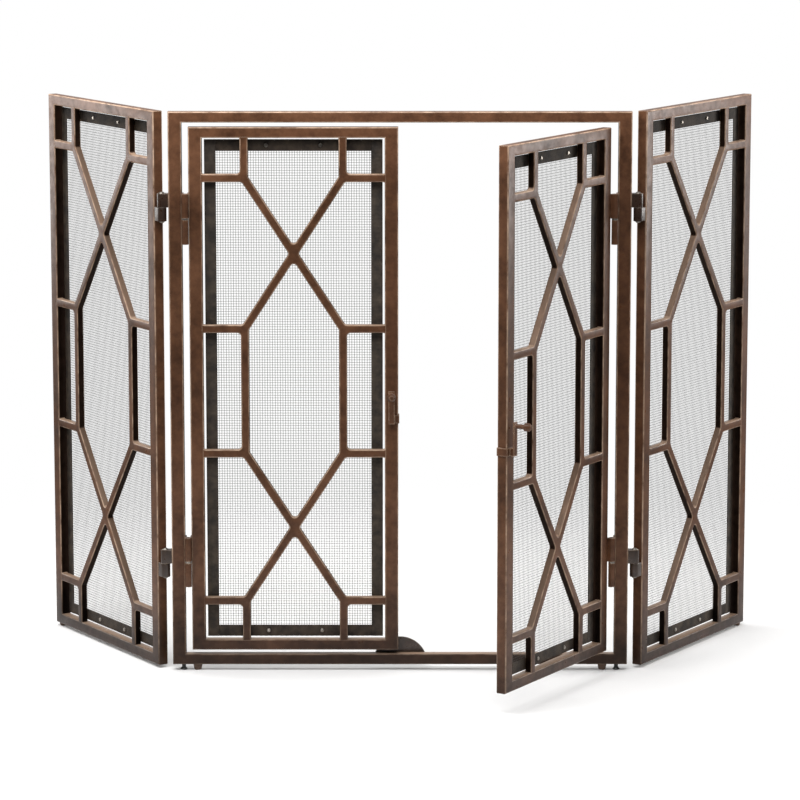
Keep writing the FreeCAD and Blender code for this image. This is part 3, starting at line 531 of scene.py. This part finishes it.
def lattice_openings(width, height, stile, rail, corner, junction):
    """The thirteen openings between the bars, as outlines in the panel's own plane."""
    half, side = bar / 2, width / 2 - stile + into_tube
    upright_at = width / 2 - stile - side_bay - half
    foot, rise = rail - into_tube, (junction - corner) / 2
    slant = math.hypot(upright_at, rise)
    up, out_ = half * slant / upright_at, half * slant / rise
    # from an upright's inner face, the slanted bar's edges lie this far up and down
    reach = (upright_at - half) * rise / upright_at
    inner, outer = upright_at - half, upright_at + half
    shapes = []
    for flip in (False, True):
        def place(points, mirror):
            made_points = [(-x if mirror else x, height - z if flip else z) for x, z in points]
            return made_points[::-1] if mirror != flip else made_points
        middle = corner + rise
        # between the rail and the cross
        shapes.append(place([(-inner, foot), (inner, foot), (inner, middle - reach - up),
                             (0, middle - up), (-inner, middle - reach - up)], False))
        for mirror in (False, True):
            # corner square
            shapes.append(place([(outer, foot), (side, foot), (side, corner - half),
                                 (outer, corner - half)], mirror))
            # beside the cross
            low = corner + half
            spread = out_ + (middle - low) * upright_at / rise
            shapes.append(place([(out_, middle), (spread, low), (side, low),
                                 (side, junction - half), (spread, junction - half)], mirror))
    middle = corner + rise
    low, high = middle + up, height - middle - up
    shapes.append([(0, low), (inner, middle + reach + up), (inner, height - middle - reach - up),
                   (0, high), (-inner, height - middle - reach - up),
                   (-inner, middle + reach + up)])
    for sign in (-1, 1):
        xs = sorted((sign * outer, sign * side))
        shapes.append([(xs[0], junction + half), (xs[1], junction + half),
                       (xs[1], height - junction - half), (xs[0], height - junction - half)])
    return shapes


def side_profile(depth, roll):
    """From the front edge to the back edge of a wall: (how far inside the bar, depth, turn)."""
    front = rolled_corner(roll)
    return front + [(inset, depth - y, t) for inset, y, t in reversed(front)]


def outline_normals(outline):
    """At each corner of an outline, the direction that moves both its edges outwards."""
    points = np.array(outline, float)
    before = points - np.roll(points, 1, 0)
    after = np.roll(points, -1, 0) - points
    sides = [np.stack([edge[:, 1], -edge[:, 0]], 1) / np.linalg.norm(edge, axis=1)[:, None]
             for edge in (before, after)]
    whole = sides[0] + sides[1]
    return points, whole * (2 / (whole * whole).sum(1))[:, None]


def lattice_mesh(name, panel):
    """A plate with thirteen openings whose walls are rolled over at the front and the back."""
    corner, junction = lattice_levels["door" if "door" in panel.name else "wing"]
    shapes = lattice_openings(panel.width, panel.height, panel.stile, panel.rail, corner, junction)
    made = bmesh.new()
    edge, wall = (made.verts.layers.float.new(mark) for mark in ("edge", "wall"))
    rims = {0: [], 1: []}
    for shape in shapes:
        outline = rounded_outline(shape, weld_radius)
        points, normals = outline_normals(outline)
        area = sum(a[0] * b[1] - b[0] * a[1]
                   for a, b in zip(outline, outline[1:] + outline[:1])) / 2
        if area < 0:
            normals = -normals
        rings = []
        for inset, y, t in side_profile(bar_depth - behind_tube, bar_round):
            at, y = points + normals * inset, y + behind_tube
            rings.append([made.verts.new((x, y, z)) for x, z in at])
            # Edge places a painted highlight on the rolled rims; wall places painted shade on the
            # opening walls.
            for vertex in rings[-1]:
                vertex[edge], vertex[wall] = math.sin(2 * t), 2 * t / math.pi
        count = len(outline)
        for near, far in zip(rings, rings[1:]):
            for k in range(count):
                made.faces.new((near[k], near[(k + 1) % count], far[(k + 1) % count], far[k]))
        rims[0].append(rings[0])
        rims[1].append(rings[-1])
    rim = into_tube + bar_round + past_round
    side, low = panel.width / 2 - panel.stile + rim, panel.rail - rim
    outside = [(-side, low), (side, low), (side, panel.height - low), (-side, panel.height - low)]
    edges = []
    for end, y in ((0, behind_tube), (1, bar_depth)):
        ring = [made.verts.new((x, y, z)) for x, z in outside]
        edges.append(ring)
        loops = [ring] + rims[end]
        flat = [[Vector((v.co.x, v.co.z, 0)) for v in loop] for loop in loops]
        corners = [v for loop in loops for v in loop]
        for face in tessellate_polygon(flat):
            made.faces.new([corners[index] for index in face])
    for k in range(4):
        made.faces.new((edges[0][k], edges[0][(k + 1) % 4], edges[1][(k + 1) % 4], edges[1][k]))
    bmesh.ops.recalc_face_normals(made, faces=made.faces)
    return shaded_mesh(name, made, bar_sharp_from)


for panel in panels:
    name = panel.name + "_grille"
    new_piece(name, lattice_mesh(name, panel), bronze, panel, "bronze_paint",
              panel.name + "_lattice_bars", panel.name + "_lattice_diagonals")

# --- Woven mesh ---------------------------------------------------------------------------
# Black iron wire cloth behind the lattice. The upright wires run straight, and each level
# wire passes in front of one upright and behind the next.

wire_pitch, wire_radius = 0.0038, 0.00026
mesh_inset = 0.003
cloth_middle = 0.0126


def wire_material(name, dark, light, roughness, scale):
    material = bpy.data.materials.new(name)
    material.use_nodes = True
    tree = material.node_tree
    shader = tree.nodes["Principled BSDF"]
    place = tree.nodes.new("ShaderNodeTexCoord").outputs["Object"]
    patchy = spread_mask(tree, noise(tree, place, scale, 4, 0.6), 0.35, 0.7)
    tree.links.new(blend_colour(tree, patchy, (*dark, 1), (*light, 1)), shader.inputs["Base Color"])
    fine = noise(tree, place, scale * 20, 2)
    tree.links.new(math_node(tree, "ADD", math_node(tree, "MULTIPLY", fine, 0.3), roughness, True),
                   shader.inputs["Roughness"])
    shader.inputs["Specular IOR Level"].default_value = 0.4
    return material


black_wire = wire_material("black_wire", (0.012, 0.011, 0.010), (0.040, 0.036, 0.032), 0.35, 30)


def upright_wires(half_width, low, high, count):
    """Straight wires with a square section turned corner-on."""
    verts, faces = [], []
    section = [(0, -1), (1, 0), (0, 1), (-1, 0)]
    for index in range(count):
        x = -half_width + 2 * half_width * index / (count - 1)
        start = len(verts)
        for z in (low, high):
            verts += [(x + wire_radius * a, cloth_middle + wire_radius * b, z) for a, b in section]
        faces += [(start + k, start + (k + 1) % 4, start + 4 + (k + 1) % 4, start + 4 + k)
                  for k in range(4)]
        faces += [(start + 3, start + 2, start + 1, start),
                  (start + 4, start + 5, start + 6, start + 7)]
    mesh = bpy.data.meshes.new("upright_wires")
    mesh.from_pydata(verts, [], faces)
    return mesh


def level_wires(half_width, low, high, count, crossings):
    """Wires that weave through the uprights, one bend at each crossing."""
    section = np.array([(-1, 0), (0, 1), (1, 0), (0, -1)], float) * wire_radius
    xs = np.linspace(-half_width, half_width, crossings)
    zs = np.linspace(low, high, count)
    side = np.where(np.arange(crossings) % 2 == 0, 1.0, -1.0) * 2 * wire_radius
    rows = []
    for index, z in enumerate(zs):
        bend = side if index % 2 == 0 else -side
        ring = np.empty((crossings, 4, 3))
        ring[:, :, 0] = xs[:, None]
        ring[:, :, 1] = cloth_middle + bend[:, None] + section[None, :, 0]
        ring[:, :, 2] = z + section[None, :, 1]
        rows.append(ring.reshape(-1, 3))
    verts = np.concatenate(rows)
    base = np.arange(crossings - 1)[:, None] * 4
    quad = np.stack([base + np.arange(4), base + (np.arange(4) + 1) % 4,
                     base + 4 + (np.arange(4) + 1) % 4, base + 4 + np.arange(4)], -1).reshape(-1, 4)
    faces = np.concatenate([quad + index * crossings * 4 for index in range(count)])
    mesh = bpy.data.meshes.new("level_wires")
    mesh.from_pydata(verts.tolist(), [], faces.tolist())
    return mesh


for panel in panels:
    half_width = panel.width / 2 - panel.stile - mesh_inset - wire_radius
    low, high = panel.rail + mesh_inset, panel.height - panel.rail - mesh_inset
    across = round(2 * half_width / wire_pitch) + 1
    up_count = round((high - low) / wire_pitch) + 1
    name = panel.name + "_upright_wires"
    new_piece(name, upright_wires(half_width, low, high, across), black_wire, panel, "woven_mesh")
    name = panel.name + "_level_wires"
    new_piece(name, level_wires(half_width, low, high, up_count, across), black_wire, panel,
              "woven_mesh", panel.name + "_mesh")

# --- Hem ----------------------------------------------------------------------------------
# The wire cloth is folded over twice round its edge, which makes a dense dark border. The
# folded wires show as fine ribs across it.

hem_width, hem_front, hem_back = 0.017, 0.0111, 0.0119
rib_pitch, rib_depth = 0.0019, 0.0003
fold_edge, fold_shoulder, fold_drop = 0.0006, 0.0014, 0.0002
hem_wire = wire_material("hem_wire", (0.013, 0.008, 0.005), (0.060, 0.042, 0.027), 0.5, 60)


def ribbed_strip(x0, z0, x1, z1):
    """A closed strip whose front is ribbed along its length."""
    tall = (z1 - z0) > (x1 - x0)
    length, width = (z1 - z0, x1 - x0) if tall else (x1 - x0, z1 - z0)
    ribs = round(length / rib_pitch)
    verts, faces = [], []
    for step in range(2 * ribs + 1):
        at = length * step / (2 * ribs)
        front = hem_front + (rib_depth if step % 2 else 0)
        for across, deep in ((0, hem_back), (fold_edge, front + fold_drop), (fold_shoulder, front),
                             (width - fold_shoulder, front),
                             (width - fold_edge, front + fold_drop), (width, hem_back)):
            x, z = (x0 + across, z0 + at) if tall else (x0 + at, z0 + across)
            verts.append((x, deep, z))
    for step in range(2 * ribs):
        a, b = 6 * step, 6 * step + 6
        faces += [(a + k, a + (k + 1) % 6, b + (k + 1) % 6, b + k) for k in range(6)]
    last = 12 * ribs
    faces += [(5, 4, 3, 2, 1, 0), tuple(last + k for k in range(6))]
    return verts, faces


for panel in panels:
    half_width = panel.width / 2 - panel.stile - mesh_inset
    low, high = panel.rail + mesh_inset, panel.height - panel.rail - mesh_inset
    verts, faces = [], []
    for strip in ((-half_width, low, -half_width + hem_width, high),
                  (half_width - hem_width, low, half_width, high),
                  (-half_width + hem_width, low, half_width - hem_width, low + hem_width),
                  (-half_width + hem_width, high - hem_width, half_width - hem_width, high)):
        more, sides = ribbed_strip(*strip)
        faces += [tuple(corner + len(verts) for corner in side) for side in sides]
        verts += more
    hem = bpy.data.meshes.new(panel.name + "_folded_hem")
    hem.from_pydata(verts, [], faces)
    made = bmesh.new()
    made.from_mesh(hem)
    bmesh.ops.recalc_face_normals(made, faces=made.faces)
    made.to_mesh(hem)
    made.free()
    new_piece(panel.name + "_folded_hem", hem, hem_wire, panel, "mesh_hem", panel.name + "_hem")

# --- Small steel --------------------------------------------------------------------------
# Hem screws and hinge pins are left as plain steel. The screws' heads are small pale spots
# on the dark hem.

steel = painted_metal("plain_steel", (0.16, 0.14, 0.12), (0.36, 0.33, 0.29), (0.55, 0.52, 0.47),
                      metallic=1.0, smooth=0.28, dull=0.42, peel_depth=0.00005)
for part in ("_hem_screws", "_hinge_pins"):
    carry([panel.name + part for panel in panels], steel)

# --- Hinges, stop and pulls ---------------------------------------------------------------
# Small forged and cut parts, welded on. Their edges are filed round and hold a highlight;
# the lobes of the wing hinges are nearly black.

flat_within, file_from, filed_sharp_from = 2, 40, 35


def filed(name, material, body, round_by):
    """The part as it is made, with its sharp edges filed round."""
    made = bmesh.new()
    made.from_mesh(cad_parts[name].data)
    bmesh.ops.remove_doubles(made, verts=made.verts, dist=2e-6)
    bmesh.ops.dissolve_limit(made, angle_limit=math.radians(flat_within), verts=made.verts,
                             edges=made.edges)
    sharp_edges = [e for e in made.edges
                   if len(e.link_faces) == 2 and e.calc_face_angle(0) > math.radians(file_from)]
    bmesh.ops.bevel(made, geom=sharp_edges, offset=round_by, segments=3, profile=0.6,
                    affect="EDGES", clamp_overlap=True)
    bmesh.ops.triangulate(made, faces=[f for f in made.faces if len(f.verts) > 4])
    mesh = shaded_mesh(name + "_filed", made, filed_sharp_from)
    new_piece(name + "_filed", mesh, material, body, "bronze_paint", name)


black_bronze = painted_metal("black_bronze", (0.010, 0.006, 0.004), (0.070, 0.036, 0.021),
                             (0.42, 0.31, 0.22), smooth=0.22, dull=0.4, speck=0.6,
                             rub_highlight_width=0.0016, peel_depth=0.0003)
for side in ("left", "right"):
    door, wing = side + "_door", side + "_wing"
    filed(door + "_hinge_jamb_leaves", bronze, "center_frame", 0.0005)
    filed(door + "_hinge_door_leaves", bronze, door, 0.0005)
    filed(wing + "_hinge_jamb_leaves", black_bronze, "center_frame", 0.0016)
    filed(wing + "_hinge_wing_leaves", black_bronze, wing, 0.0016)
    filed(door + "_pull", bronze, door, 0.0006)
filed("door_stop", black_bronze, "center_frame", 0.0007)

# --- Feet ---------------------------------------------------------------------------------
# Black glides screw into the centre frame's bottom rail. Brown moulded feet stand beside
# them and under the outer end of each wing.

black_plastic = painted_metal("black_glide", (0.008, 0.008, 0.008), (0.022, 0.021, 0.020),
                              (0.05, 0.05, 0.05), smooth=0.35, dull=0.6)
brown_plastic = painted_metal("brown_foot", (0.035, 0.018, 0.010), (0.13, 0.065, 0.035),
                              (0.2, 0.12, 0.08), smooth=0.35, dull=0.6)
carry(["centre_glides"], black_plastic)
carry(["centre_feet", "left_wing_foot", "right_wing_foot"], brown_plastic)
